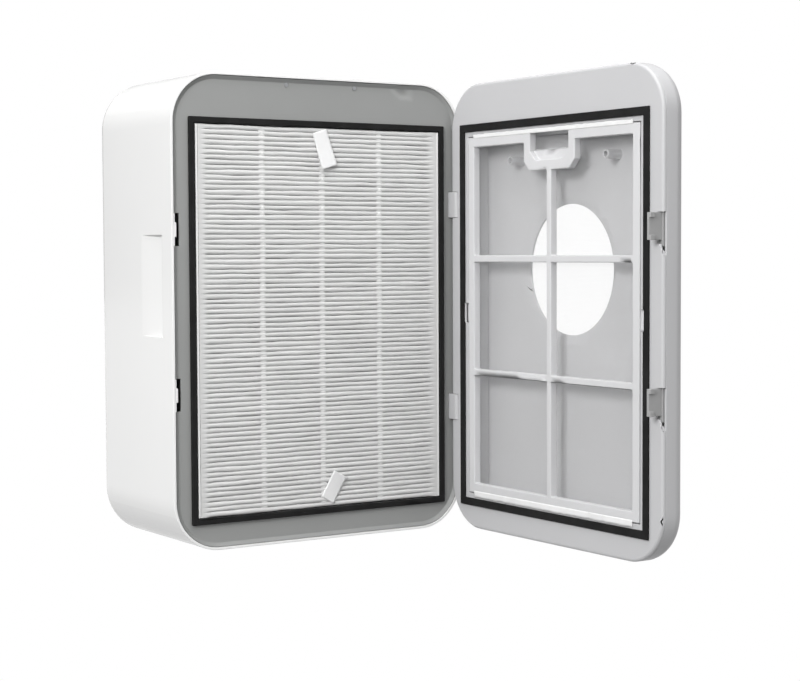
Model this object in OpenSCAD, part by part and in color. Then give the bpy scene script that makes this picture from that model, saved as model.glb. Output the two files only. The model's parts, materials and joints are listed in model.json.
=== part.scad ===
// Wall air purifier: a housing with fan and filter bay, and a hinged cover with a duct opening.
// Millimetres, +Z up. The origin is the centre of the housing's flat bottom.
// The filter bay and its cover are on the -Y side, the smooth room side is on +Y.
// Parts are laid out with the bay's gasket plane at y = 0 and the cover shut, then
// the cover is turned open about its hinge pins and everything is centred in depth.

/* [Housing] */
// Width of the housing
body_w = 340; // [336:1:346]
// Height of the housing
body_h = 470; // [466:1:480]
// Depth of the housing
body_d = 176; // [174:1:200]
// Corner radius of the housing's outline
corner_r = 50; // [46:1:54]
// Radius of the room-side edge
front_r = 20; // [14:1:24]
// Wall thickness of the white shells
wall = 2.6; // [2.2:0.1:3]

/* [Seals] */
// Width over the gasket rectangle
seal_w = 300; // [296:1:302]
// Height over the gasket rectangle
seal_h = 400; // [396:1:402]
// Height of the gasket's lower edge above the bottom
seal_z = 26; // [24:1:30]
// Width of the bay gasket strip
bay_strip = 6; // [5:0.5:7]
// Width of the cover gasket strip
cover_strip = 8; // [7:0.5:8]

/* [Filter cartridge] */
// Depth of the cartridge
filter_d = 45; // [35:1:46]
// Distance between pleats
pleat_pitch = 4.9; // [4:0.1:8]
// Thickness of the pleated sheet
media_t = 0.6; // [0.4:0.1:0.8]
// Distance between the glue bead lines
bead_pitch = 69; // [60:1:75]

/* [Cover] */
// Thickness of the cover from its rim to its outer face
cover_t = 30; // [28:1:34]
// How far the cover's outline stays inside the housing's
cover_inset = 2; // [1.5:0.5:3]
// Radius of the cover's outer edge
cover_r = 15; // [10:1:18]
// Thickness of the cover's outer panel
panel_t = 4; // [2.5:0.1:4.5]
// Diameter of the duct opening
duct_d = 131; // [120:1:150]
// Height of the duct opening's centre
duct_z = 275; // [265:1:285]
// Angle at which the cover stands open
cover_open = 90; // [60:1:94]

/* [Latches and hinges] */
// Height of the upper latch
latch_top_z = 316; // [300:1:322]
// Height of the lower latch
latch_low_z = 155; // [150:1:170]
// Height of the latch hook
hook_h = 25.2; // [24:0.2:25.6]
// Height of the upper hinge
hinge_top_z = 343; // [338:1:350]
// Height of the lower hinge
hinge_low_z = 128; // [124:1:135]
// Radius of the hinge pins
pin_r = 2; // [1.8:0.1:2.2]

/* [Fan] */
// Radius of the impeller
fan_r = 88; // [84:1:90]
// Number of impeller blades
blades = 36; // [24:1:40]
// Radius of the motor shaft
shaft_r = 4; // [3.5:0.1:4.5]

/* [Hidden] */
$fn = 64;

white = [0.94, 0.94, 0.94];
cover_white = [0.84, 0.84, 0.85];
plate_grey = [0.60, 0.61, 0.60];
seal_black = [0.08, 0.08, 0.08];
latch_grey = [0.60, 0.60, 0.60];
paper = [0.86, 0.86, 0.86];
steel = [0.70, 0.71, 0.73];
fan_grey = [0.35, 0.36, 0.38];
board_green = [0.10, 0.35, 0.20];
gloss_black = [0.04, 0.04, 0.05];

fit = 0.2;              // gap between pieces that sit in each other
over = 1;               // how far a cut runs past the face it goes through
mid_z = body_h / 2;
seal_mid = seal_z + seal_h / 2;

// Bay frame: a recessed grey plate with a bevelled border and the filter well
plate_w = body_w - 2 * wall - 2 * fit;
plate_h = body_h - 2 * wall - 2 * fit;
plate_r = corner_r - wall - fit;
plate_y = 3.6;
plate_t = 2.4;
border_y = 0.6;
border_w = 4;
skirt_y = 16;
well_w = seal_w - 2 * bay_strip;
well_h = seal_h - 2 * bay_strip;
well_y = 49;
well_t = 2;

// Filter cartridge
cart_gap = 1;
cart_w = well_w - 2 * cart_gap;
cart_h = well_h - 2 * cart_gap;
cart_y = 1;
cart_t = 2.2;
media_w = cart_w - 2 * cart_t - 2 * fit;
media_h = cart_h - 2 * cart_t - 2 * fit;
media_y = cart_y + 1;
media_d = filter_d - 3;
pleats = floor(media_h / pleat_pitch);
tab_t = 0.4;

// Cover
cov_w = body_w - 2 * cover_inset;
cov_h = body_h - 2 * cover_inset;
cov_r = corner_r - cover_inset;
rim_y = -2.5;
rim_t = 2.5;
rim_edge = 3;
rim_side = 4;
outer_y = rim_y - cover_t;
panel_y = outer_y + panel_t;
opening_w = seal_w - 2 * cover_strip;
opening_h = seal_h - 2 * cover_strip;
lip = 5;
cavity_w = opening_w - 2 * lip;
cavity_h = opening_h - 2 * lip;
ledge = 4;
ledge_y = rim_y - 8.5;
post_x = 76;
post_z = 386;
post_r = 4.6;
post_y = ledge_y;
wall_screw_r = 2.75;
flare = 8;
flare_d = 1.8;

// Prefilter grid
grid_gap = 1;
grid_w = cavity_w - 2 * grid_gap;
grid_h = cavity_h - 2 * grid_gap;
grid_y = -1.8;
grid_d = 8;
grid_rim = 10;
bar_w = 7;
bar_z = [167, 286];
notch_in = 61;
notch_out = 82;
notch_top = seal_mid + grid_h / 2;
notch_low = 375;
notch_bar = 9;
notch_cham = 9;
ear_x = opening_w / 2 - 3.7;
ear_z = 229;
ear_h = 19;

// Hinge axis, and the reach of its parts
hinge_x = 162.5;
hinge_y = -6.2;
knuckle_r = 4.4;
knuckle_h = 27;
pocket_h = 28;
clear = 0.4;            // gap round a moving piece
run_fit = 0.05;

// Latches: a hook that passes the keeper's tab and then slides down behind it
hook_x = -160.5;
hook_arm = 2.8;
hook_w = 5;
hook_tip = 10.4;
barb_h = 4.6;
barb_y = 5.3;
slot_x = -160;
guide_x = -164.9;
guide_w = 7.9;
tail_drop = 10;
slot_h = 32;
keeper_tab = 7;
latch_travel = 3;

// Fan and scroll
fan_x = -10;
fan_z = 205;
fan_y0 = 68;
fan_y1 = 118;
fan_eye = 76;
scroll_y0 = 60;
scroll_y1 = 126;
scroll_t = 2;
tongue = 60;
scroll_min = fan_r + 9;
scroll_max = scroll_min + 50;
duct_top = body_h - 12;
motor_y = 131;
bracket_pcd_r = 58;

// Room side
panel_z = 400;
panel_w = 130;
panel_h = 34;
panel_r = 16.5;
button_r = 9;
grille_w = 204;
grille_d = 74;
grille_y = 93;
inlet_y = 120;
board_t = 1.6;
control_y = body_d - 15;
power_y = body_d - 12;
inlet_z = 70;

// ---------- shapes ----------

// Rectangle with round corners, centred
module round_rect(w, h, r) {
    square([w - 2 * r, h], center = true);
    square([w, h - 2 * r], center = true);
    for (x = [-1, 1], y = [-1, 1])
        translate([x * (w / 2 - r), y * (h / 2 - r)])
            circle(r);
}

// Upright plate with round corners between two depths
module slab(w, h, r, y0, y1, z = mid_z) {
    translate([0, y1, z])
        rotate([90, 0, 0])
            linear_extrude(y1 - y0)
                round_rect(w, h, r);
}

// Upright plate with square corners between two depths
module board(w, h, y0, y1, z = seal_mid) {
    translate([-w / 2, y0, z - h / 2])
        cube([w, y1 - y0, h]);
}

// Upright square frame
module frame(w, h, strip, y0, y1, z = seal_mid) {
    difference() {
        board(w, h, y0, y1, z);
        board(w - 2 * strip, h - 2 * strip, y0 - over, y1 + over, z);
    }
}

// Section through a bowl's edge: a wall of the given reach, rounded at its far corner
module edge_section(reach, depth, e) {
    square([reach - e, depth]);
    square([reach, depth - e]);
    translate([reach - e, depth - e])
        intersection() {
            circle(e);
            square(e);
        }
}

// Round-cornered block whose far edge, at y1, is rounded with radius e
module bowl(w, h, r, e, y0, y1, z = mid_z) {
    depth = y1 - y0;
    translate([0, y0, z])
        rotate([-90, 0, 0]) {
            translate([-(w / 2 - r), -(h / 2 - r), 0])
                cube([w - 2 * r, h - 2 * r, depth]);
            for (i = [0 : 3]) {
                across = i % 2 == 0;
                far = (across ? w : h) / 2 - r;
                side = (across ? h : w) / 2 - r;
                rotate([0, 0, 90 * i]) {
                    translate([far, side, 0])
                        rotate([90, 0, 0])
                            linear_extrude(2 * side)
                                edge_section(r, depth, e);
                    translate([far, side, 0])
                        rotate_extrude(angle = 90)
                            edge_section(r, depth, e);
                }
            }
        }
}

// Round-cornered cut whose walls lean outwards by slope towards y0, with its floor at y1
module tray(w, h, r, slope, y0, y1, z = mid_z) {
    depth = y1 - y0;
    lean = slope * (1 + over / depth);
    section = [[0, -over], [r + lean, -over], [r, depth], [0, depth]];
    translate([0, y0, z])
        rotate([-90, 0, 0]) {
            translate([-(w / 2 - r), -(h / 2 - r), -over])
                cube([w - 2 * r, h - 2 * r, depth + over]);
            for (i = [0 : 3]) {
                across = i % 2 == 0;
                far = (across ? w : h) / 2 - r;
                side = (across ? h : w) / 2 - r;
                rotate([0, 0, 90 * i])
                    translate([far, side, 0]) {
                        rotate([90, 0, 0])
                            linear_extrude(2 * side)
                                polygon(section);
                        rotate_extrude(angle = 90)
                            polygon(section);
                    }
            }
        }
}

// Cylinder along +Y
module rod(r, y0, y1) {
    translate([0, y1, 0])
        rotate([90, 0, 0])
            cylinder(r = r, h = y1 - y0);
}

// Pan-head screw along +Y, with its head at y0
module screw(r, head_r, y0, length) {
    rod(head_r, y0, y0 + head_r / 2);
    rod(r, y0 + head_r / 2 - 0.01, y0 + length);
}

// Turns the cover's parts from shut to open
module on_cover() {
    translate([hinge_x, hinge_y, 0])
        rotate([0, 0, cover_open])
            translate([-hinge_x, -hinge_y, 0])
                children();
}

// Puts the housing's middle over the origin
module placed() {
    translate([0, -body_d / 2, 0])
        children();
}

// ---------- housing ----------

// Wedge that cuts the finger scoop in a side wall
module scoop(side) {
    translate([0, 0, 211])
        linear_extrude(100)
            polygon([[side * (body_w / 2 + over), 22], [side * (body_w / 2 - 5), 22],
                     [side * (body_w / 2 - 5), 26], [side * (body_w / 2 + over), 74]]);
}

module outer_shell() {
    color(white)
        difference() {
            union() {
                difference() {
                    bowl(body_w, body_h, corner_r, front_r, 0, body_d);
                    bowl(body_w - 2 * wall, body_h - 2 * wall, corner_r - wall, front_r - wall,
                         -over, body_d - wall);
                }
                // Thicker wall behind the finger scoops
                for (s = [-1, 1])
                    translate([s * (body_w / 2 - wall / 2 - 3) - 3, 18, 205])
                        cube([6, 62, 112]);
            }
            scoop(-1);
            scoop(1);
            // Air outlet in the top
            translate([-grille_w / 2, grille_y - grille_d / 2, body_h - wall - over])
                cube([grille_w, grille_d, wall + 2 * over]);
            // Window for the control panel
            slab(panel_w, panel_h, panel_r, body_d - wall - over, body_d + over, panel_z);
            // Holes for the power inlet and its screws
            translate([body_w / 2 - wall - over, inlet_y - 14, inlet_z - 10])
                cube([wall + 2 * over, 28, 20]);
            for (s = [-1, 1])
                translate([body_w / 2 - wall - over, inlet_y + s * 17, inlet_z])
                    rotate([0, 90, 0])
                        cylinder(r = 1.3, h = wall + 2 * over);
        }
    // Standoffs that carry the two circuit boards
    color(white) {
        for (x = [-54, 54], z = [-26, 26])
            translate([x, 0, panel_z + z])
                rod(3, control_y + board_t, body_d - wall + 0.5);
        for (x = [56, 130], z = [36, 90])
            translate([x, 0, z])
                rod(3, power_y + board_t, body_d - wall + 0.5);
    }
}

// Where the latch hooks enter the plate
module latch_slot(z) {
    translate([-plate_w / 2 - over, -over, z - slot_h / 2])
        cube([slot_x + plate_w / 2 + over, skirt_y + 2 * over, slot_h]);
}

module bay_frame() {
    color(plate_grey)
        difference() {
            union() {
                slab(plate_w, plate_h, plate_r, border_y, skirt_y);
                board(well_w + 2 * well_t, well_h + 2 * well_t, plate_y, well_y + well_t);
            }
            // Recessed face inside a border that leans outwards
            tray(plate_w - 2 * border_w, plate_h - 2 * border_w, plate_r - border_w,
                 border_w - 0.6, border_y, plate_y);
            // Hollow behind the face, outside the well
            difference() {
                slab(plate_w - 2 * well_t, plate_h - 2 * well_t, plate_r - well_t,
                     plate_y + plate_t, skirt_y + over);
                board(well_w + 2 * well_t, well_h + 2 * well_t, 0, well_y);
            }
            // Filter well, and the way to the fan
            board(well_w, well_h, -over, well_y);
            translate([fan_x, 0, fan_z])
                rod(86, well_y - over, well_y + well_t + over);
            latch_slot(latch_top_z);
            latch_slot(latch_low_z);
            // Holes for the plate's screws and the hinge brackets' screws
            for (s = [-1, 1])
                translate([s * 40, 0, body_h - 9])
                    rod(1.3, 0, skirt_y);
            for (z = [hinge_low_z, hinge_top_z]) {
                for (s = [-1, 1])
                    translate([154.8, 0, z + s * 8])
                        rod(1.3, plate_y + 0.5, skirt_y);
                translate([hinge_x - knuckle_r - clear, 0, z - knuckle_h / 2 - clear])
                    cube([4 + 2 * clear, skirt_y, knuckle_h + 2 * clear]);
            }
        }
}

module bay_gasket() {
    color(seal_black)
        frame(seal_w, seal_h, bay_strip, 0, plate_y);
}

module bay_screws() {
    color(steel)
        for (s = [-1, 1])
            translate([s * 40, 0, body_h - 9])
                screw(1.2, 2, plate_y - 1, 12);
}

// Clip on the shell's wall, with the tab that the hooks slide behind
module keeper(z) {
    color(white) {
        translate([-body_w / 2 + wall, 0.6, z - slot_h / 2 + fit])
            cube([1.2, 16, slot_h - 2 * fit]);
        translate([-body_w / 2 + wall, 0.6, z - keeper_tab])
            cube([3, 4, 2 * keeper_tab]);
    }
}

// Hinge half on the bay plate: a foot behind the plate, an arm and a knuckle with the pin's bore
module hinge_bracket(z) {
    foot_y = plate_y + plate_t + fit;
    color(cover_white)
        translate([0, 0, z - knuckle_h / 2])
            difference() {
                union() {
                    translate([hinge_x, hinge_y, 0])
                        cylinder(r = knuckle_r, h = knuckle_h);
                    translate([hinge_x - knuckle_r, hinge_y, 0])
                        cube([4, foot_y + 2 - hinge_y, knuckle_h]);
                    translate([151.2, foot_y, 0])
                        cube([8, 2, knuckle_h]);
                }
                translate([hinge_x, hinge_y, -over])
                    cylinder(r = pin_r + run_fit, h = knuckle_h + 2 * over);
                for (s = [-1, 1])
                    translate([154.8, 0, knuckle_h / 2 + s * 8])
                        rod(1.3, foot_y - over, foot_y + 2 + over);
            }
}

module hinge_screws() {
    color(steel)
        for (z = [hinge_low_z, hinge_top_z], s = [-1, 1])
            translate([154.8, plate_y + plate_t + 3.3, z + s * 8])
                mirror([0, 1, 0])
                    screw(1.2, 2.2, 0, 4.9);
}

// ---------- fan ----------

// Scroll radius at an angle, growing from the tongue onwards
function spiral_r(a) = scroll_min + (scroll_max - scroll_min) * (a - tongue) / (360 - tongue);

function spiral(extra) = [
    for (a = [tongue + 5 * extra : 10 : 360])
        let (r = spiral_r(a) + extra)
            [fan_x + r * cos(a), fan_z + r * sin(a)]
];

// Scroll outline with its diffuser, grown by extra
function scroll_outline(extra) = concat(spiral(extra), [
    [fan_x + scroll_max + extra, 300],
    [96 + extra, duct_top],
    [-96 - extra, duct_top]
]);

module scroll_shape(extra, y0, y1) {
    translate([0, y1, 0])
        rotate([90, 0, 0])
            linear_extrude(y1 - y0)
                polygon(scroll_outline(extra));
}

module at_fan() {
    translate([fan_x, 0, fan_z])
        children();
}

// Four places just outside the scroll's wall
module at_ears() {
    at_fan()
        for (a = [105, 195, 285, 345])
            rotate([0, -a, 0])
                translate([spiral_r(a) + scroll_t + 3, 0, 0])
                    children();
}

// Three places round the fan's axis
module thirds(r) {
    for (a = [30, 150, 270])
        rotate([0, -a, 0])
            translate([r, 0, 0])
                children();
}

module inlet_guard() {
    guard_y = well_y + well_t + 0.2;
    guard_t = 1.6;
    color(plate_grey)
        at_fan() {
            for (r = [20 : 16 : 84])
                difference() {
                    rod(r + 1, guard_y, guard_y + guard_t);
                    rod(r - 1, guard_y - over, guard_y + guard_t + over);
                }
            for (a = [0 : 60 : 300])
                rotate([0, a, 0])
                    translate([19, guard_y, -1])
                        cube([72, guard_t, 2]);
        }
}

// Ring that rounds the air's way into the impeller
module bell_mouth() {
    lip_r = 85;
    lip_y = fan_y0 - 1.5;
    color(fan_grey)
        at_fan()
            rotate([90, 0, 0])
                rotate_extrude() {
                    intersection() {
                        difference() {
                            translate([lip_r, -lip_y])
                                circle(13);
                            translate([lip_r, -lip_y])
                                circle(11);
                        }
                        translate([lip_r - 13, -lip_y])
                            square(13);
                    }
                    translate([lip_r - 13, -lip_y - 1])
                        square([2, 1]);
                    translate([lip_r, -lip_y + 11])
                        square([9, 2]);
                    translate([lip_r + 7, -scroll_y0])
                        square([2, scroll_y0 - lip_y + 13]);
                }
}

module scroll_front() {
    color(fan_grey)
        difference() {
            union() {
                scroll_shape(scroll_t, scroll_y0, scroll_y0 + scroll_t - fit);
                at_ears()
                    rod(6, scroll_y0, scroll_y0 + scroll_t - fit);
                // Spacers against the bay's back wall
                at_fan()
                    for (a = [150, 240, 330])
                        rotate([0, -a, 0])
                            translate([spiral_r(a) - 7, 0, 0])
                                rod(5, well_y + well_t, scroll_y0 + 0.5);
            }
            at_fan()
                rod(78, scroll_y0 - over, scroll_y0 + scroll_t + over);
            at_ears()
                rod(1.5, scroll_y0 - over, scroll_y0 + scroll_t + over);
        }
}

module scroll_housing() {
    front = scroll_y0 + scroll_t;
    color(fan_grey)
        difference() {
            union() {
                scroll_shape(scroll_t, front, scroll_y1);
                at_ears()
                    rod(6, front, front + 12);
            }
            scroll_shape(0, front - over, scroll_y1 - scroll_t);
            translate([-96, front - over, duct_top - 3])
                cube([192, scroll_y1 - front - scroll_t + over, 3 + over]);
            at_ears()
                rod(1.3, front - over, front + 10);
            at_fan() {
                rod(30, scroll_y1 - 2 * scroll_t, scroll_y1 + over);
                thirds(bracket_pcd_r)
                    rod(1.6, scroll_y1 - 2 * scroll_t, scroll_y1 + over);
            }
        }
}

module scroll_screws() {
    color(steel)
        at_ears()
            screw(1.2, 2.4, scroll_y0 - 1.2, 9);
}

// One forward-curved blade between two radii
module blade() {
    steps = 5;
    inner = fan_eye - 3;
    function camber(r) = 24 * (r - inner) / (fan_r - inner);
    outer_pts = [for (i = [0 : steps])
        let (r = inner + (fan_r - 1 - inner) * i / steps) [r * cos(camber(r)), r * sin(camber(r))]];
    inner_pts = [for (i = [steps : -1 : 0])
        let (r = inner + (fan_r - 1 - inner) * i / steps, a = camber(r) - 1.2)
            [r * cos(a), r * sin(a)]];
    polygon(concat(outer_pts, inner_pts));
}

module impeller() {
    color(fan_grey)
        at_fan()
            difference() {
                union() {
                    rod(fan_r, fan_y1 - 2, fan_y1);
                    rod(12, fan_y1 - 24, fan_y1);
                    difference() {
                        rod(fan_r, fan_y0, fan_y0 + 3);
                        rod(fan_eye, fan_y0 - over, fan_y0 + 3 + over);
                    }
                    translate([0, fan_y1 - 1, 0])
                        rotate([90, 0, 0])
                            linear_extrude(fan_y1 - fan_y0 - 2)
                                for (i = [0 : blades - 1])
                                    rotate(i * 360 / blades)
                                        blade();
                }
                rod(shaft_r, fan_y0, fan_y1 + over);
            }
}

module motor_shaft() {
    color(steel)
        at_fan()
            rod(shaft_r, fan_y1 - 23, motor_y + 34);
}

module motor() {
    color([0.20, 0.20, 0.22])
        at_fan()
            difference() {
                union() {
                    rod(40, motor_y, motor_y + 30);
                    rod(20, motor_y - 8, motor_y + 1);
                    rod(12, motor_y + 29, motor_y + 36);
                }
                rod(shaft_r + run_fit, motor_y - 9, motor_y + 34.5);
            }
}

module motor_bracket() {
    color(steel)
        at_fan()
            difference() {
                union() {
                    rod(48, motor_y - 2.4, motor_y - 0.2);
                    thirds(bracket_pcd_r - 12)
                        translate([0, motor_y - 2.4, -9])
                            cube([12, 2.2, 18]);
                    thirds(bracket_pcd_r)
                        rod(9, motor_y - 2.4, motor_y - 0.2);
                }
                rod(20.2, motor_y - 4, motor_y + over);
                thirds(bracket_pcd_r)
                    rod(3.2, motor_y - 4, motor_y + over);
            }
}

module motor_dampers() {
    color(seal_black)
        at_fan()
            thirds(bracket_pcd_r)
                difference() {
                    union() {
                        rod(6, scroll_y1, motor_y - 2.4);
                        rod(3.1, scroll_y1, motor_y - 0.2);
                        rod(6, motor_y - 0.2, motor_y + 1.6);
                    }
                    rod(1.6, scroll_y1 - over, motor_y + 3);
                }
}

module motor_screws() {
    color(steel)
        at_fan()
            thirds(bracket_pcd_r)
                translate([0, motor_y + 3.4, 0])
                    mirror([0, 1, 0])
                        screw(1.5, 3.4, 0, 11);
}

// ---------- room side ----------

module outlet_grille() {
    slat = 2.4;
    color(white)
        difference() {
            translate([-grille_w / 2 + fit, grille_y - grille_d / 2 + fit, body_h - 9])
                cube([grille_w - 2 * fit, grille_d - 2 * fit, 9]);
            for (i = [0 : 10], s = [-1, 1])
                translate([s * 50 - 47, grille_y - grille_d / 2 + 3.4 + i * (3.8 + slat),
                           body_h - 10])
                    cube([94, 3.8, 12]);
        }
}

module control_panel() {
    color(gloss_black)
        difference() {
            union() {
                slab(panel_w - 2 * fit, panel_h - 2 * fit, panel_r - fit,
                     body_d - wall - 2, body_d + 0.2, panel_z);
                slab(panel_w + 8, panel_h + 8, panel_r + 4, body_d - wall - 2,
                     body_d - wall, panel_z);
            }
            translate([0, 0, panel_z])
                rod(button_r + 0.4, body_d - 10, body_d + over);
        }
}

module power_button() {
    color(latch_grey)
        translate([0, 0, panel_z]) {
            rod(button_r, body_d - 3, body_d + 1.4);
            rod(button_r + 2, body_d - wall - 4.4, body_d - wall - 2.6);
            rod(button_r, body_d - wall - 3, body_d - 2);
        }
}

module button_plunger() {
    color(seal_black)
        translate([0, 0, panel_z])
            rod(3, body_d - wall - 6, body_d - wall - 4.4);
}

module control_board() {
    front = control_y + board_t;
    color(board_green) {
        translate([-60, control_y, panel_z - 30])
            cube([120, board_t, 60]);
        translate([-48, front, panel_z - 16])
            cube([20, 3, 12]);
        translate([24, front, panel_z - 14])
            cube([14, 2, 14]);
        // Switch under the power button
        translate([0, 0, panel_z])
            rod(3.4, front, front + 3.3);
    }
}

module power_board() {
    color(board_green) {
        translate([50, power_y, 30])
            cube([86, board_t, 66]);
        translate([62, power_y - 20, 40])
            cube([26, 20, 30]);
        translate([104, 0, 52])
            rod(8, power_y - 22, power_y);
        translate([122, 0, 72])
            rod(6, power_y - 16, power_y);
    }
}

module power_inlet() {
    color(seal_black)
        difference() {
            union() {
                translate([body_w / 2 - 22, inlet_y - 14 + fit, inlet_z - 10 + fit])
                    cube([22, 28 - 2 * fit, 20 - 2 * fit]);
                translate([body_w / 2, inlet_y - 20, inlet_z - 13])
                    cube([1.6, 40, 26]);
            }
            translate([body_w / 2 - 16, inlet_y - 10, inlet_z - 6])
                cube([16 + 2 * over, 20, 12]);
            for (s = [-1, 1])
                translate([body_w / 2 - over, inlet_y + s * 17, inlet_z])
                    rotate([0, 90, 0])
                        cylinder(r = 1.3, h = 4);
        }
}

module inlet_screws() {
    color(steel)
        for (s = [-1, 1])
            translate([0, inlet_y + s * 17, inlet_z])
                rotate([0, 90, 0]) {
                    translate([0, 0, body_w / 2 + 1.6])
                        cylinder(r = 2.2, h = 1);
                    translate([0, 0, body_w / 2 - 5])
                        cylinder(r = 1.2, h = 7);
                }
}

// ---------- filter cartridge ----------

module filter_frame() {
    color(paper)
        frame(cart_w, cart_h, cart_t, cart_y, cart_y + filter_d);
}

// Folded sheet: every pleat is one fold out and back
module filter_media() {
    fold = media_d / (1 + 2 * media_t / pleat_pitch);
    z0 = seal_mid - pleats * pleat_pitch / 2;
    function zigzag(shift, order) = [
        for (i = order)
            [media_y + (i % 2 == 0 ? 0 : fold) + shift, z0 + i * pleat_pitch / 2]
    ];
    color(paper)
        translate([-media_w / 2, 0, 0])
            rotate([90, 0, 90])
                linear_extrude(media_w)
                    polygon(concat(zigzag(0, [0 : 2 * pleats]),
                                   zigzag(media_d - fold, [2 * pleats : -1 : 0])));
}

module filter_beads() {
    color(white)
        for (i = [-1, 0, 1])
            translate([i * bead_pitch - 3, media_y - 0.6, seal_mid - media_h / 2 + 1])
                cube([6, 0.5, media_h - 2]);
}

module filter_seal() {
    color(seal_black)
        frame(cart_w, cart_h, 9, cart_y + filter_d, well_y - 0.3);
}

// Flat ribbon for pulling the cartridge out
module pull_tab(x, z, angle, length) {
    color(white)
        translate([x, 0.9, z])
            rotate([0, angle, 0])
                translate([-7.5, -tab_t, -length])
                    cube([15, tab_t, length]);
}

// ---------- cover, drawn shut ----------

// Block behind the rim that holds a hinge pin
module hinge_block(z) {
    translate([154, -15, z - 24])
        cube([11, 11, 48]);
}

// Open pocket for the knuckle, and the pin's bore
module hinge_pocket(z) {
    translate([156.8, -12, z - pocket_h / 2])
        cube([20, 20, pocket_h]);
    translate([hinge_x, hinge_y, z - 21])
        cylinder(r = pin_r + 0.01, h = 42);
}

// Notch in the rim's edge for a latch, with room for its travel and a tapered end for a thumb
module latch_window(z) {
    low = z - hook_h / 2 - latch_travel - clear;
    edge = -cov_w / 2;
    translate([edge - over, rim_y - rim_side, low])
        cube([8.8 + over, 8, hook_h + latch_travel + 2 * clear]);
    translate([0, rim_y + over, 0])
        rotate([90, 0, 0])
            linear_extrude(rim_side + over)
                polygon([[edge - over, low + over], [edge + 4.8, low + over],
                         [edge + 4.8, low], [edge + 1, low - tail_drop],
                         [edge - over, low - tail_drop]]);
}

// Rail behind the rim's face that a latch's guide slides in
module latch_rail(z) {
    low = z - hook_h / 2 - 16;
    end_x = guide_x + guide_w + clear;
    translate([guide_x, ledge_y - 0.5, low])
        cube([end_x + 2 - guide_x, 2, hook_h + 22]);
    translate([end_x, ledge_y - 0.5, low])
        cube([2, rim_y - ledge_y - 1, hook_h + 22]);
}

// Where the screws that hold the cover's two halves together stand
module at_cover_screws() {
    for (s = [-1, 1], z = [20, body_h - 20])
        translate([s * 100, 0, z])
            children();
}

module cover_rim() {
    color(cover_white)
        difference() {
            union() {
                difference() {
                    bowl(cov_w, cov_h, cov_r, rim_edge, rim_y - rim_side, rim_y);
                    slab(cov_w - 2 * wall, cov_h - 2 * wall, cov_r - wall,
                         rim_y - rim_side - over, rim_y - rim_t);
                }
                // Walls round the cavity that the prefilter sits in
                board(cavity_w + 4, cavity_h + 4, panel_y + fit, rim_y - rim_t + 0.5);
                hinge_block(hinge_top_z);
                hinge_block(hinge_low_z);
                latch_rail(latch_top_z);
                latch_rail(latch_low_z);
                at_cover_screws()
                    rod(4.5, panel_y + fit, rim_y - rim_t + 0.5);
            }
            // The cavity, with a ledge all round behind the prefilter
            board(cavity_w, cavity_h, ledge_y, rim_y + over);
            board(cavity_w - 2 * ledge, cavity_h - 2 * ledge, ledge_y - 3, ledge_y + over);
            board(cavity_w, cavity_h, panel_y - over, ledge_y - 2);
            hinge_pocket(hinge_top_z);
            hinge_pocket(hinge_low_z);
            latch_window(latch_top_z);
            latch_window(latch_low_z);
            // Slots beside the cavity for the prefilter's ears
            for (s = [-1, 1])
                translate([s * (ear_x + 0.8) - 3.3, rim_y - 5, ear_z - ear_h / 2 - 0.6])
                    cube([6.6, 8, ear_h + 1.2]);
            at_cover_screws()
                rod(1.3, panel_y - over, -12);
        }
}

module cover_shell() {
    color(cover_white)
        difference() {
            union() {
                mirror([0, 1, 0])
                    difference() {
                        bowl(cov_w, cov_h, cov_r, cover_r, -rim_y + rim_side, -outer_y);
                        bowl(cov_w - 2 * wall, cov_h - 2 * wall, cov_r - wall, cover_r - wall,
                             -over, -panel_y);
                    }
                for (s = [-1, 1])
                    translate([s * post_x, 0, post_z])
                        rod(post_r, panel_y - 0.5, post_y);
            }
            translate([0, 0, duct_z])
                rod(duct_d / 2, outer_y - over, panel_y + over);
            // Flare on the inner side of the duct opening
            translate([0, panel_y - flare_d, duct_z])
                rotate([-90, 0, 0])
                    cylinder(r1 = duct_d / 2, r2 = duct_d / 2 + flare, h = flare_d);
            for (s = [-1, 1])
                translate([s * post_x, 0, post_z])
                    rod(wall_screw_r, outer_y - over, post_y + over);
            // The knuckles reach into the side wall
            hinge_pocket(hinge_top_z);
            hinge_pocket(hinge_low_z);
            at_cover_screws() {
                rod(1.5, outer_y - over, panel_y + over);
                rod(2.8, outer_y - over, outer_y + 1.6);
            }
        }
}

module cover_gasket() {
    color(seal_black)
        difference() {
            frame(seal_w, seal_h, cover_strip, rim_y, -0.3);
            for (s = [-1, 1])
                translate([s * (opening_w / 2) - 1.4, rim_y - over, ear_z - ear_h / 2 - 0.6])
                    cube([2.8, 5, ear_h + 1.2]);
        }
}

module cover_screws() {
    color(steel)
        at_cover_screws()
            screw(1.2, 2.2, outer_y + 0.5, 14);
}

module hinge_pin(z) {
    color(steel)
        translate([hinge_x, hinge_y, z - 20.5])
            cylinder(r = pin_r, h = 41);
}

module latch(z) {
    low = z - hook_h / 2;
    back = ledge_y + 1.9;
    color(latch_grey) {
        // Arm through the rim's notch
        translate([hook_x - hook_arm, back, low])
            cube([hook_arm, hook_tip - back, hook_h]);
        // Barbs at both ends of the arm
        for (b = [low, low + hook_h - barb_h])
            translate([hook_x - hook_w, barb_y, b])
                cube([hook_w, hook_tip - barb_y, barb_h]);
        // Guide behind the rim's face
        translate([guide_x, back, low - 6])
            cube([guide_w, rim_y - rim_t - clear - back, hook_h + 10]);
    }
}

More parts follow.
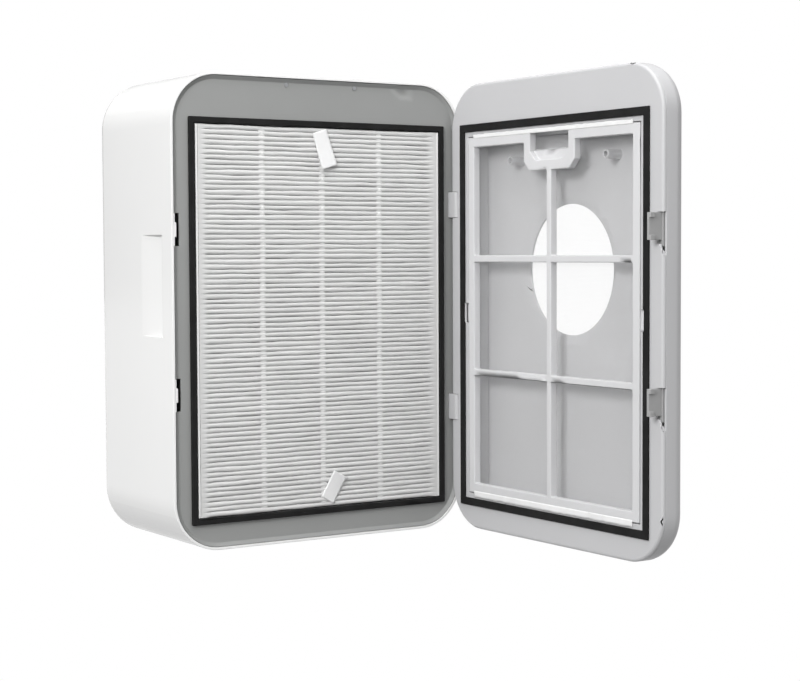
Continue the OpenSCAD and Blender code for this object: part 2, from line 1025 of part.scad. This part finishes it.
// Outline of the prefilter grid as seen from the front, with the finger notch's step
module grid_outline(shrink) {
    w = grid_w / 2 - shrink;
    top = notch_top - shrink;
    low = notch_low - shrink;
    half = notch_out / 2 - notch_bar - 1.5 + shrink;
    cham = notch_cham;
    polygon([[-w, seal_mid - grid_h / 2 + shrink], [w, seal_mid - grid_h / 2 + shrink], [w, top],
             [half, top], [half, low + notch_bar + cham], [half - cham, low + notch_bar],
             [-half + cham, low + notch_bar], [-half, low + notch_bar + cham], [-half, top],
             [-w, top]]);
}

module grid_plate(shrink, y0, y1) {
    translate([0, y1, 0])
        rotate([90, 0, 0])
            linear_extrude(y1 - y0)
                grid_outline(shrink);
}

module prefilter_frame() {
    front = grid_y;
    back = grid_y - grid_d;
    color(white) {
        difference() {
            grid_plate(0, back, front);
            grid_plate(grid_rim, back - over, front + over);
        }
        intersection() {
            grid_plate(grid_rim - 1, back, front);
            union() {
                board(bar_w, grid_h, back, front);
                for (z = bar_z)
                    board(grid_w, bar_w, back, front, z);
            }
        }
        // Grip plate in the finger notch
        translate([-notch_in / 2 - 1, back, notch_low + 8])
            cube([notch_in + 2, 2, 12]);
        // Ears at half height
        for (s = [-1, 1])
            translate([s * ear_x - 3.3, rim_y - 3.8, ear_z - ear_h / 2])
                cube([6.6, 1.6, ear_h]);
    }
}

module prefilter_mesh() {
    color([0.9, 0.9, 0.9, 0.4])
        grid_plate(grid_rim / 2, grid_y - grid_d - 0.4, grid_y - grid_d);
}

// ---------- nodes ----------

placed() outer_shell();
placed() bay_frame();
placed() bay_gasket();
placed() bay_screws();
placed() keeper(latch_top_z);  // latch_keeper_upper
placed() keeper(latch_low_z);  // latch_keeper_lower
placed() hinge_bracket(hinge_top_z);  // hinge_bracket_upper
placed() hinge_bracket(hinge_low_z);  // hinge_bracket_lower
placed() hinge_screws();
placed() inlet_guard();
placed() bell_mouth();
placed() scroll_front();
placed() scroll_housing();
placed() scroll_screws();
placed() impeller();
placed() motor_shaft();
placed() motor();
placed() motor_bracket();
placed() motor_dampers();
placed() motor_screws();
placed() outlet_grille();
placed() control_panel();
placed() power_button();
placed() button_plunger();
placed() control_board();
placed() power_board();
placed() power_inlet();
placed() inlet_screws();
placed() filter_frame();
placed() filter_media();
placed() filter_beads();
placed() filter_seal();
placed() pull_tab(-8, 415.5, -20, 36);  // pull_tab_top
placed() pull_tab(12, 62, 28, 30);  // pull_tab_bottom
placed() on_cover() cover_shell();
placed() on_cover() cover_rim();
placed() on_cover() cover_gasket();
placed() on_cover() cover_screws();
placed() on_cover() hinge_pin(hinge_top_z);  // hinge_pin_upper
placed() on_cover() hinge_pin(hinge_low_z);  // hinge_pin_lower
placed() on_cover() latch(latch_top_z);  // latch_upper
placed() on_cover() latch(latch_low_z);  // latch_lower
placed() on_cover() prefilter_frame();
placed() on_cover() prefilter_mesh();
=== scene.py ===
"""Looks of the wall air purifier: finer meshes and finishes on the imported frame, in metres."""
import json
import math

import bmesh
import bpy
import numpy as np
from mathutils import Matrix, Vector

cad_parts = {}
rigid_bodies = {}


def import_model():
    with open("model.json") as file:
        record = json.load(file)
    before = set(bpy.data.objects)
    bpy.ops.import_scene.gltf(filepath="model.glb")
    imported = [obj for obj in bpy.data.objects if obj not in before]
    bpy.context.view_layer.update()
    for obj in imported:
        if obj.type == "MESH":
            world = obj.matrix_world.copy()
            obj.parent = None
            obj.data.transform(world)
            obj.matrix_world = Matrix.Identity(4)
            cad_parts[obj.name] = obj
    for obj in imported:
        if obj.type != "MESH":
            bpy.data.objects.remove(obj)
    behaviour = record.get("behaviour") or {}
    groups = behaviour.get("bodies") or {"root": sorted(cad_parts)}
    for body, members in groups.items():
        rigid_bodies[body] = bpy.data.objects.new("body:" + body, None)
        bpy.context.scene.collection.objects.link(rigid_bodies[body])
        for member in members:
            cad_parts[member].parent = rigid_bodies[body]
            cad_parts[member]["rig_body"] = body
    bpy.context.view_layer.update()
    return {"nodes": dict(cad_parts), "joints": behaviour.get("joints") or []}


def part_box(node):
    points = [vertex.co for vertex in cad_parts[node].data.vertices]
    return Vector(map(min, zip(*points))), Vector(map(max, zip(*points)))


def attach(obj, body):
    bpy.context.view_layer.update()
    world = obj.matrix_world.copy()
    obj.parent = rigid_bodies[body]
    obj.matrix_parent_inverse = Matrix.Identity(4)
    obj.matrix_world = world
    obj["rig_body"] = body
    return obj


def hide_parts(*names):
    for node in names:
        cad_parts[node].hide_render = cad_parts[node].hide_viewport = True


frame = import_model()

MM = 0.001
SEED = 7

# ---------- places ----------

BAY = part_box("outer_shell")[0].y
HINGE = Vector(next(j for j in frame["joints"] if j["name"] == "cover_hinge")["pos_m"])
MEDIA_LO, MEDIA_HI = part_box("filter_media")
CARD_LO, CARD_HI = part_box("filter_frame")
NET_LO, NET_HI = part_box("prefilter_mesh")


def at_bay(x, y, z):
    """Point in millimetres from the bay's gasket plane, in the row frame."""
    return Vector((x * MM, BAY + y * MM, z * MM))


def on_cover(x, y, z):
    """Point in millimetres on the shut cover, turned open about the hinge."""
    return Vector((HINGE.x - (y * MM + BAY - HINGE.y), HINGE.y + x * MM - HINGE.x, z * MM))


# ---------- finishes ----------

def link(tree, out_node, out_name, in_node, in_name):
    tree.links.new(out_node.outputs[out_name], in_node.inputs[in_name])


def noise(tree, coords, scale, detail=2.0, stretch=None):
    """Noise over the piece's own coordinates, optionally drawn out along an axis."""
    made = tree.nodes.new("ShaderNodeTexNoise")
    made.inputs["Scale"].default_value = scale
    made.inputs["Detail"].default_value = detail
    if stretch is None:
        link(tree, coords, "Object", made, "Vector")
    else:
        mapping = tree.nodes.new("ShaderNodeMapping")
        mapping.inputs["Scale"].default_value = stretch
        link(tree, coords, "Object", mapping, "Vector")
        link(tree, mapping, "Vector", made, "Vector")
    return made


def spread(tree, source, name, low, high):
    """Maps the middle of a noise to a range."""
    made = tree.nodes.new("ShaderNodeMapRange")
    made.inputs["From Min"].default_value = 0.3
    made.inputs["From Max"].default_value = 0.7
    made.inputs["To Min"].default_value = low
    made.inputs["To Max"].default_value = high
    link(tree, source, name, made, "Value")
    return made


def tint(color, factor):
    return tuple(min(1.0, c * factor) for c in color) + (1.0,)


def finish(name, color, rough, tone=0.02, patch=8.0, gloss=0.05, grain=900.0, depth=0.02,
           strength=0.15, stretch=None, sockets=None):
    """Surface with faint patches of tone, uneven gloss and a fine grain."""
    material = bpy.data.materials.new(name)
    material.use_nodes = True
    tree = material.node_tree
    shader = tree.nodes["Principled BSDF"]
    coords = tree.nodes.new("ShaderNodeTexCoord")
    patches = noise(tree, coords, patch, 3.0, stretch)
    blend = tree.nodes.new("ShaderNodeMix")
    blend.data_type = "RGBA"
    blend.inputs[6].default_value = tint(color, 1.0 - tone)
    blend.inputs[7].default_value = tint(color, 1.0 + tone)
    mask = spread(tree, patches, "Fac", 0.0, 1.0)
    tree.links.new(mask.outputs["Result"], blend.inputs[0])
    tree.links.new(blend.outputs[2], shader.inputs["Base Color"])
    fine = noise(tree, coords, grain, 2.0, stretch)
    uneven = spread(tree, noise(tree, coords, patch * 4.0, 4.0), "Fac", rough - gloss, rough + gloss)
    link(tree, uneven, "Result", shader, "Roughness")
    bump = tree.nodes.new("ShaderNodeBump")
    bump.inputs["Strength"].default_value = strength
    bump.inputs["Distance"].default_value = depth * MM
    link(tree, fine, "Fac", bump, "Height")
    link(tree, bump, "Normal", shader, "Normal")
    for key, value in (sockets or {}).items():
        shader.inputs[key].default_value = value
    return material


def net_finish(name, color, pitch, thread):
    """Woven net: two sets of thin threads with open holes between them."""
    material = finish(name, color, 0.7, tone=0.03, patch=20.0)
    tree = material.node_tree
    shader = tree.nodes["Principled BSDF"]
    coords = next(n for n in tree.nodes if n.bl_idname == "ShaderNodeTexCoord")
    split = tree.nodes.new("ShaderNodeSeparateXYZ")
    link(tree, coords, "Object", split, "Vector")
    held = []
    for axis in ("Y", "Z"):
        wrap = tree.nodes.new("ShaderNodeMath")
        wrap.operation = "PINGPONG"
        wrap.inputs[1].default_value = pitch / 2
        tree.links.new(split.outputs[axis], wrap.inputs[0])
        line = tree.nodes.new("ShaderNodeMapRange")
        line.inputs["From Min"].default_value = thread * 0.4
        line.inputs["From Max"].default_value = thread * 0.6
        line.inputs["To Min"].default_value = 1.0
        line.inputs["To Max"].default_value = 0.0
        tree.links.new(wrap.outputs[0], line.inputs["Value"])
        held.append(line)
    both = tree.nodes.new("ShaderNodeMath")
    both.operation = "MAXIMUM"
    tree.links.new(held[0].outputs["Result"], both.inputs[0])
    tree.links.new(held[1].outputs["Result"], both.inputs[1])
    tree.links.new(both.outputs[0], shader.inputs["Alpha"])
    return material


FINISHES = {
    "white_shell": finish("white_shell", (0.88, 0.88, 0.875), 0.20, tone=0.008, patch=5.0, gloss=0.04,
                          grain=260.0, depth=0.03, strength=0.08,
                          sockets={"Coat Weight": 0.25, "Coat Roughness": 0.08}),
    "cover_plastic": finish("cover_plastic", (0.55, 0.55, 0.56), 0.42, tone=0.012, gloss=0.05,
                            grain=1400.0, depth=0.04, strength=0.2),
    "grey_plate": finish("grey_plate", (0.30, 0.305, 0.30), 0.45, tone=0.02, gloss=0.05,
                         grain=1500.0, depth=0.05, strength=0.3),
    "latch_grey": finish("latch_grey", (0.36, 0.36, 0.36), 0.38, tone=0.02, patch=30.0,
                         grain=1500.0, strength=0.2),
    "fan_plastic": finish("fan_plastic", (0.10, 0.105, 0.115), 0.45, tone=0.04, grain=1500.0,
                          depth=0.05, strength=0.3),
    "black_plastic": finish("black_plastic", (0.012, 0.012, 0.014), 0.14, tone=0.04, gloss=0.03,
                            grain=300.0, strength=0.05, sockets={"Coat Weight": 0.5}),
    "gasket": finish("gasket", (0.014, 0.014, 0.014), 0.85, tone=0.25, patch=60.0, gloss=0.08,
                     grain=1600.0, depth=0.25, strength=0.8,
                     sockets={"Specular IOR Level": 0.15}),
    "steel": finish("steel", (0.55, 0.56, 0.58), 0.32, tone=0.04, patch=40.0, grain=2000.0,
                    sockets={"Metallic": 1.0}),
    "board": finish("board", (0.015, 0.10, 0.045), 0.40, tone=0.25, patch=90.0, grain=900.0),
    "motor_metal": finish("motor_metal", (0.05, 0.05, 0.055), 0.35, tone=0.08, patch=30.0,
                          grain=1200.0, sockets={"Metallic": 0.6}),
    "filter_paper": finish("filter_paper", (0.65, 0.65, 0.645), 0.92, tone=0.03, patch=45.0,
                           grain=2600.0, depth=0.12, strength=0.5, stretch=(0.25, 1.0, 1.0),
                           sockets={"Sheen Weight": 0.15}),
    "filter_card": finish("filter_card", (0.84, 0.84, 0.83), 0.75, tone=0.015, patch=25.0,
                          grain=1800.0, depth=0.05, strength=0.3),
    "glue": finish("glue", (0.80, 0.80, 0.79), 0.45, tone=0.02, patch=60.0, grain=700.0,
                   depth=0.1, strength=0.3),
    "ribbon": finish("ribbon", (0.84, 0.84, 0.84), 0.6, tone=0.02, patch=60.0, grain=2600.0,
                     depth=0.06, strength=0.4, sockets={"Sheen Weight": 0.2}),
    "net": net_finish("net", (0.75, 0.75, 0.75), 1.2 * MM, 0.1 * MM),
    "prefilter_white": finish("prefilter_white", (0.66, 0.66, 0.67), 0.36, tone=0.01,
                              grain=1400.0, strength=0.15),
}

# ---------- meshes ----------

def new_piece(name, points, faces, body, slot, look=None):
    """A mesh piece from points in the row frame."""
    mesh = bpy.data.meshes.new(name)
    mesh.from_pydata([tuple(p) for p in points], [], faces)
    mesh.update()
    piece = bpy.data.objects.new(name, mesh)
    bpy.context.scene.collection.objects.link(piece)
    mesh.materials.append(FINISHES[look or slot])
    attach(piece, body)
    return piece


def apply_modifiers(piece):
    """Turns a piece's modifiers into its mesh."""
    graph = bpy.context.evaluated_depsgraph_get()
    mesh = bpy.data.meshes.new_from_object(piece.evaluated_get(graph), depsgraph=graph)
    piece.modifiers.clear()
    piece.data = mesh


def modifier(piece, kind, **values):
    """Adds a modifier with the settings given."""
    made = piece.modifiers.new(kind.lower(), kind)
    for key, value in values.items():
        setattr(made, key, value)


def shade_smooth(piece):
    """Turns every face of a piece to smooth shading."""
    piece.data.polygons.foreach_set("use_smooth", [True] * len(piece.data.polygons))


def soften(piece, width, segments=2, angle=30.0):
    """Rounds the edges sharper than an angle, and keeps the flat faces flat."""
    modifier(piece, "BEVEL", width=width * MM, segments=segments, limit_method="ANGLE",
             angle_limit=math.radians(angle), use_clamp_overlap=False, miter_outer="MITER_ARC",
             harden_normals=False)
    shade_smooth(piece)
    modifier(piece, "WEIGHTED_NORMAL", keep_sharp=True, weight=50)
    apply_modifiers(piece)


def slice_up(work, cell):
    """Cuts a mesh along evenly spaced planes, so that no face is long and thin."""
    points = np.array([v.co for v in work.verts])
    lo, hi = points.min(0), points.max(0)
    for axis in range(3):
        count = int((hi[axis] - lo[axis]) / cell)
        normal = [float(axis == i) for i in range(3)]
        for i in range(1, count + 1):
            at = [0.0, 0.0, 0.0]
            at[axis] = lo[axis] + (hi[axis] - lo[axis]) * i / (count + 1)
            bmesh.ops.bisect_plane(work, geom=work.verts[:] + work.edges[:] + work.faces[:],
                                   dist=1e-6, plane_co=at, plane_no=normal)


def refine(node, slot, width, segments=2, angle=30.0, look=None, cell=0.018):
    """A finer mesh of a CAD node, with its edges rounded, in its place."""
    source = frame["nodes"][node]
    work = bmesh.new()
    work.from_mesh(source.data)
    bmesh.ops.remove_doubles(work, verts=work.verts, dist=0.002 * MM)
    bmesh.ops.dissolve_limit(work, angle_limit=math.radians(1.0), verts=work.verts,
                             edges=work.edges, use_dissolve_boundaries=False)
    slice_up(work, cell)
    bmesh.ops.connect_verts_concave(work, faces=work.faces)
    work.verts.index_update()
    points = [v.co.copy() for v in work.verts]
    faces = [[v.index for v in f.verts] for f in work.faces]
    work.free()
    piece = new_piece(node + "_fine", points, faces, source["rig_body"], slot, look)
    soften(piece, width, segments, angle)
    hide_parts(node)


def grid_faces(rows, cols, first=0):
    """Quads over a grid of points stored row by row."""
    return [[first + r * cols + c, first + r * cols + c + 1,
             first + (r + 1) * cols + c + 1, first + (r + 1) * cols + c]
            for r in range(rows - 1) for c in range(cols - 1)]


def smooth_noise(rng, count, samples, step):
    """Seeded curves that wander smoothly between -1 and 1, one per row."""
    knots = max(4, int(samples / step) + 3)
    values = rng.uniform(-1.0, 1.0, (count, knots))
    where = np.linspace(0, knots - 1.001, samples)
    low = where.astype(int)
    t = where - low
    t = t * t * (3 - 2 * t)
    return values[:, low] * (1 - t) + values[:, low + 1] * t


# ---------- hard pieces ----------

REFINED = [
    ("outer_shell", "white_shell", 0.5, 3), ("bay_frame", "grey_plate", 0.5, 2),
    ("bay_gasket", "gasket", 1.0, 3),
    ("latch_keeper_upper", "white_shell", 0.4, 2), ("latch_keeper_lower", "white_shell", 0.4, 2),
    ("hinge_bracket_upper", "cover_plastic", 0.6, 2), ("hinge_bracket_lower", "cover_plastic", 0.6, 2),
    ("outlet_grille", "white_shell", 0.5, 2), ("control_panel", "black_plastic", 0.15, 2),
    ("power_button", "latch_grey", 0.5, 3), ("power_inlet", "black_plastic", 0.5, 2),
    ("filter_seal", "gasket", 0.8, 2),
    ("cover_shell", "cover_plastic", 0.6, 2), ("cover_rim", "cover_plastic", 0.5, 2),
    ("cover_gasket", "gasket", 0.8, 3),
    ("latch_upper", "latch_grey", 0.4, 2), ("latch_lower", "latch_grey", 0.4, 2),
]
for node, slot, width, segments in REFINED:
    refine(node, slot, width, segments)
refine("prefilter_frame", "cover_plastic", 1.0, 3, look="prefilter_white")

KEPT = {
    "steel": ["bay_screws", "hinge_screws", "scroll_screws", "motor_shaft", "motor_bracket",
              "motor_screws", "inlet_screws", "cover_screws", "hinge_pin_upper", "hinge_pin_lower"],
    "grey_plate": ["inlet_guard"],
    "fan_plastic": ["bell_mouth", "scroll_front", "scroll_housing", "impeller"],
    "motor_metal": ["motor"],
    "gasket": ["motor_dampers", "button_plunger"],
    "board": ["control_board", "power_board"],
}
for look, nodes in KEPT.items():
    for name in nodes:
        kept = frame["nodes"][name]
        kept.data.materials.clear()
        kept.data.materials.append(FINISHES[look])

# ---------- pleated filter ----------

PLEAT = 4.9
TIP_DEEP = 2.0
TIP_OUT = 0.9
SIDE_FLAT = 6.5
SIDE_FADE = 2.0
COLUMNS = 81


def build_media():
    """Folded sheet with rounded tips, slightly wavy, and flattened where it is glued at its sides."""
    rng = np.random.default_rng(SEED)
    front, back = MEDIA_LO.y, MEDIA_HI.y
    height = CARD_HI.z - CARD_LO.z
    pleats = round(height / (PLEAT * MM))
    pitch = height / pleats / MM
    start = CARD_LO.z
    xs = np.linspace(MEDIA_LO.x, MEDIA_HI.x, COLUMNS)
    edge = np.minimum(xs - MEDIA_LO.x, MEDIA_HI.x - xs) / MM
    free = np.clip((edge - SIDE_FLAT) / SIDE_FADE, 0, 1)
    free = free * free * (3 - 2 * free)
    held = np.abs(np.sin(math.pi * (xs - MEDIA_LO.x) / (MEDIA_HI.x - MEDIA_LO.x) * 4)) * free
    wander = smooth_noise(rng, pleats + 1, COLUMNS, 6) * 0.35 * held
    wander += smooth_noise(rng, pleats + 1, COLUMNS, 20) * 0.35 * free
    gaps = np.maximum(0.03, 0.08 + 0.20 * smooth_noise(rng, pleats + 1, COLUMNS, 5))
    lift = 0.35 * smooth_noise(rng, pleats, COLUMNS, 9) * free
    arc = np.linspace(math.pi, 0, 9)
    middle = (CARD_LO.z + CARD_HI.z) / 2
    squeeze = (MEDIA_HI.z - MEDIA_LO.z) / height

    def fold_z(z):
        """Height of a back fold, kept inside the card frame."""
        return middle + (z - middle) * squeeze

    rows = []
    for i in range(pleats):
        low = start + (i * pitch + wander[i]) * MM
        high = start + ((i + 1) * pitch + wander[i + 1]) * MM
        inner_low = low + gaps[i] * MM
        inner_high = high - gaps[i + 1] * MM
        mid, half = (inner_low + inner_high) / 2, (inner_high - inner_low) / 2
        flat_mid = start + (i + 0.5) * pitch * MM
        tip = front - (TIP_OUT + lift[i]) * MM
        rows.append((fold_z(start + i * pitch * MM) + 0 * xs, back + 0 * xs))
        for a in arc:
            glued = flat_mid - mid + pitch / 2 * MM * math.cos(a)
            z = mid + half * math.cos(a) * free + (1 - free) * glued
            y = tip + TIP_DEEP * MM * (1 - math.sin(a)) * free
            rows.append((z, y))
    rows.append((fold_z(start + pleats * pitch * MM) + 0 * xs, back + 0 * xs))
    points = [(x, y, z) for zs, ys in rows for x, y, z in zip(xs, ys, zs)]
    piece = new_piece("filter_pleats", points, grid_faces(len(rows), COLUMNS), "filter_cartridge",
                      "filter_paper")
    shade_smooth(piece)
    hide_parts("filter_media")


def build_beads():
    """Three lines of glue across the pleats' tips, dipping a little between them."""
    rng = np.random.default_rng(SEED + 1)
    lo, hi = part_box("filter_beads")
    front = MEDIA_LO.y
    points, faces = [], []
    per_pleat = 6
    rows = int((hi.z - lo.z) / (PLEAT * MM) * per_pleat)
    cross = np.linspace(-1, 1, 7)
    pitch = (hi.x - lo.x - 6 * MM) / 2
    for line in range(3):
        centre = (lo.x + hi.x) / 2 + (line - 1) * pitch
        width = 3.4 + 0.5 * smooth_noise(rng, 1, rows, 5)[0]
        drift = 0.5 * smooth_noise(rng, 1, rows, 30)[0]
        first = len(points)
        for r in range(rows):
            z = lo.z + (hi.z - lo.z) * r / (rows - 1)
            dip = abs(math.sin(math.pi * (z - lo.z) / (PLEAT * MM))) ** 0.5
            for c in cross:
                y = front + (0.9 * (1 - dip) - 0.7 + 0.5 * c * c) * MM
                points.append((centre + (drift[r] + c * width[r]) * MM, y, z))
        faces += grid_faces(rows, len(cross), first)
    piece = new_piece("filter_glue_lines", points, faces, "filter_cartridge", "glue")
    shade_smooth(piece)
    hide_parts("filter_beads")


RIBBON_WIDE = 17
CARD_WALL = 2.2
CARD_DROP = 3.5


def build_tab(name, node, x, z, angle, length, curl, fan):
    """Ribbon glued under the cartridge's edge, with its free end curled up a little."""
    rows, cols = 25, 9
    axis = Vector((math.sin(math.radians(angle)), 0, -math.cos(math.radians(angle))))
    side = Vector((math.cos(math.radians(angle)), 0, math.sin(math.radians(angle))))
    root = at_bay(x, 0.75, z)
    points = []
    for r in range(rows):
        t = r / (rows - 1)
        for c in range(cols):
            u = c / (cols - 1) - 0.5
            out = curl * t * t + 0.6 * math.sin(3 * t) * u
            shift = fan * t * t * u
            points.append(root + axis * (t * length * MM) + side * ((RIBBON_WIDE * u + shift) * MM)
                          + Vector((0, -out * MM, 0)))
    piece = new_piece(name, points, grid_faces(rows, cols), "filter_cartridge", "ribbon")
    modifier(piece, "SOLIDIFY", thickness=0.3 * MM, offset=0.0)
    apply_modifiers(piece)
    shade_smooth(piece)
    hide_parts(node)


def build_card():
    """Card frame whose top and bottom walls stop short, under the first and last pleats."""
    stations = []
    wall = CARD_WALL * MM
    lo, hi = CARD_LO, CARD_HI
    steps = 40
    for side in range(4):
        for i in range(steps):
            t = i / steps
            along = [(t, 0), (1, t), (1 - t, 1), (0, 1 - t)][side]
            outer = Vector((lo.x + (hi.x - lo.x) * along[0], 0, lo.z + (hi.z - lo.z) * along[1]))
            inner = Vector((min(max(outer.x, lo.x + wall), hi.x - wall), 0,
                            min(max(outer.z, lo.z + wall), hi.z - wall)))
            reach = min(outer.x - lo.x, hi.x - outer.x) / MM
            drop = CARD_DROP * min(1.0, max(0.0, (reach - 2.0) / 8.0)) if side in (0, 2) else 0.0
            stations.append((outer, inner, lo.y + drop * MM))
    points, faces = [], []
    count = len(stations)
    for outer, inner, front in stations:
        for place, y in ((outer, front), (inner, front), (inner, hi.y), (outer, hi.y)):
            points.append((place.x, y, place.z))
    for i in range(count):
        j = (i + 1) % count
        for k in range(4):
            m = (k + 1) % 4
            faces.append([4 * i + k, 4 * i + m, 4 * j + m, 4 * j + k])
    piece = new_piece("filter_card_frame", points, faces, "filter_cartridge", "filter_card")
    soften(piece, 0.4, 2)
    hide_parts("filter_frame")


build_card()
build_media()
build_beads()
build_tab("pull_ribbon_top", "pull_tab_top", x=-3, z=416, angle=17, length=38, curl=2.2, fan=1.0)
build_tab("pull_ribbon_bottom", "pull_tab_bottom", x=4, z=39.5, angle=151, length=30, curl=2.0, fan=0.6)

# ---------- net behind the prefilter ----------

def build_net():
    """Net held in the prefilter's frame, with a slight sag in each window."""
    rows, cols = 60, 44
    points = []
    for r in range(rows):
        for c in range(cols):
            u, v = c / (cols - 1), r / (rows - 1)
            sag = 0.5 * math.sin(math.pi * (u * 2 % 1)) * math.sin(math.pi * (v * 3 % 1))
            points.append(((NET_LO.x + NET_HI.x) / 2 + 0.12 * MM * sag,
                           NET_LO.y + (NET_HI.y - NET_LO.y) * u,
                           NET_LO.z + (NET_HI.z - NET_LO.z) * v))
    piece = new_piece("prefilter_net", points, grid_faces(rows, cols), "prefilter", "net")
    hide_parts("prefilter_mesh")
    return piece


def build_hem(name, z0, z1, wave, seed):
    """Ruffled edge of the net, standing out between the prefilter and the rim."""
    rng = np.random.default_rng(seed)
    cols, rows = 181, 5
    waves = smooth_noise(rng, 2, cols, 4)
    xs = np.linspace(-127, 127, cols)
    points = []
    for r in range(rows):
        t = r / (rows - 1)
        for c in range(cols):
            lean = wave * waves[1][c] * t
            points.append(on_cover(xs[c] + lean, -1.75 + 0.5 * waves[0][c] * (0.3 + 0.7 * t),
                                   z0 + (z1 - z0) * t + 0.35 * waves[1][c] * t))
    piece = new_piece(name, points, grid_faces(rows, cols), "prefilter", "net", "ribbon")
    modifier(piece, "SOLIDIFY", thickness=0.25 * MM, offset=0.0)
    apply_modifiers(piece)
    shade_smooth(piece)
    return piece


net = build_net()
hems = [build_hem("net_hem_bottom", 42.0, 35.4, 1.0, SEED + 2),
        build_hem("net_hem_top", 411.0, 415.2, 0.8, SEED + 3)]

# ---------- floor, light and camera ----------

FLOOR_Z = -0.0004


def stage_piece(name, points, faces, glow):
    """Floor or backdrop: a plain white surface that shows but throws no light on the object."""
    mesh = bpy.data.meshes.new(name)
    mesh.from_pydata(points, [], faces)
    made = bpy.data.objects.new(name, mesh)
    bpy.context.scene.collection.objects.link(made)
    material = bpy.data.materials.new(name)
    material.use_nodes = True
    shader = material.node_tree.nodes["Principled BSDF"]
    shader.inputs["Base Color"].default_value = (0.0, 0.0, 0.0, 1.0)
    shader.inputs["Roughness"].default_value = 0.9
    shader.inputs["Specular IOR Level"].default_value = 0.0
    shader.inputs["Emission Color"].default_value = (1.0, 1.0, 1.0, 1.0)
    shader.inputs["Emission Strength"].default_value = glow
    mesh.materials.append(material)
    made.visible_diffuse = False
    made.visible_shadow = False
    return made


def build_stage():
    """Round floor with a round white backdrop far behind it."""
    sides, radius, height = 96, 9.0, 9.0
    ring = [(radius * math.cos(2 * math.pi * i / sides), radius * math.sin(2 * math.pi * i / sides))
            for i in range(sides)]
    stage_piece("floor", [(x, y, FLOOR_Z) for x, y in ring], [list(range(sides))], 1.0)
    walls = [(x, y, FLOOR_Z) for x, y in ring] + [(x, y, height) for x, y in ring]
    faces = [[i, (i + 1) % sides, sides + (i + 1) % sides, sides + i] for i in range(sides)]
    backdrop = stage_piece("backdrop", walls, faces, 1.0)
    backdrop.visible_glossy = False


def add_area(name, direction, distance, size, power, aim):
    """Soft square light that looks at a point from a direction."""
    light = bpy.data.lights.new(name, "AREA")
    light.energy = power
    light.size = size
    lamp = bpy.data.objects.new(name, light)
    toward = Vector(direction).normalized()
    lamp.location = aim + toward * distance
    lamp.rotation_euler = toward.to_track_quat("Z", "Y").to_euler()
    bpy.context.scene.collection.objects.link(lamp)


def build_camera():
    """Camera at the viewing angle: yaw, pitch and roll, with no shift."""
    yaw, pitch, roll = math.radians(33.244), math.radians(2.872), math.radians(-0.26)
    ahead = Vector((math.sin(yaw) * math.cos(pitch), math.cos(yaw) * math.cos(pitch), -math.sin(pitch)))
    right = Vector((math.cos(yaw), -math.sin(yaw), 0))
    up = right.cross(ahead)
    right_rolled = right * math.cos(roll) + up * math.sin(roll)
    up_rolled = up * math.cos(roll) - right * math.sin(roll)
    data = bpy.data.cameras.new("camera")
    data.sensor_width = 36.0
    data.lens = 80.69
    camera = bpy.data.objects.new("camera", data)
    turn = Matrix((right_rolled, up_rolled, -ahead)).transposed().to_4x4()
    camera.matrix_world = Matrix.Translation((-0.9361, BAY - 1.5700, 0.2948)) @ turn
    bpy.context.scene.collection.objects.link(camera)
    bpy.context.scene.camera = camera


def build_world():
    """White light from all round, a little stronger from above."""
    world = bpy.data.worlds.new("studio")
    bpy.context.scene.world = world
    world.use_nodes = True
    sky = world.node_tree
    sky.nodes["Background"].inputs["Color"].default_value = (1.0, 1.0, 1.0, 1.0)
    height = sky.nodes.new("ShaderNodeSeparateXYZ")
    link(sky, sky.nodes.new("ShaderNodeTexCoord"), "Generated", height, "Vector")
    fade = sky.nodes.new("ShaderNodeMapRange")
    for key, value in (("From Min", -0.6), ("From Max", 0.8), ("To Min", 0.22), ("To Max", 0.72)):
        fade.inputs[key].default_value = value
    link(sky, height, "Z", fade, "Value")
    link(sky, fade, "Result", sky.nodes["Background"], "Strength")


build_stage()
build_world()
AIM = Vector((0.05, BAY - 0.06, 0.25))
add_area("key", (-1.3, -0.75, 0.6), distance=2.2, size=0.7, power=31.0, aim=AIM)
add_area("top", (-0.1, -0.35, 1.0), distance=1.3, size=1.0, power=10.0, aim=AIM)
build_camera()
bpy.context.scene.view_settings.view_transform = "Standard"
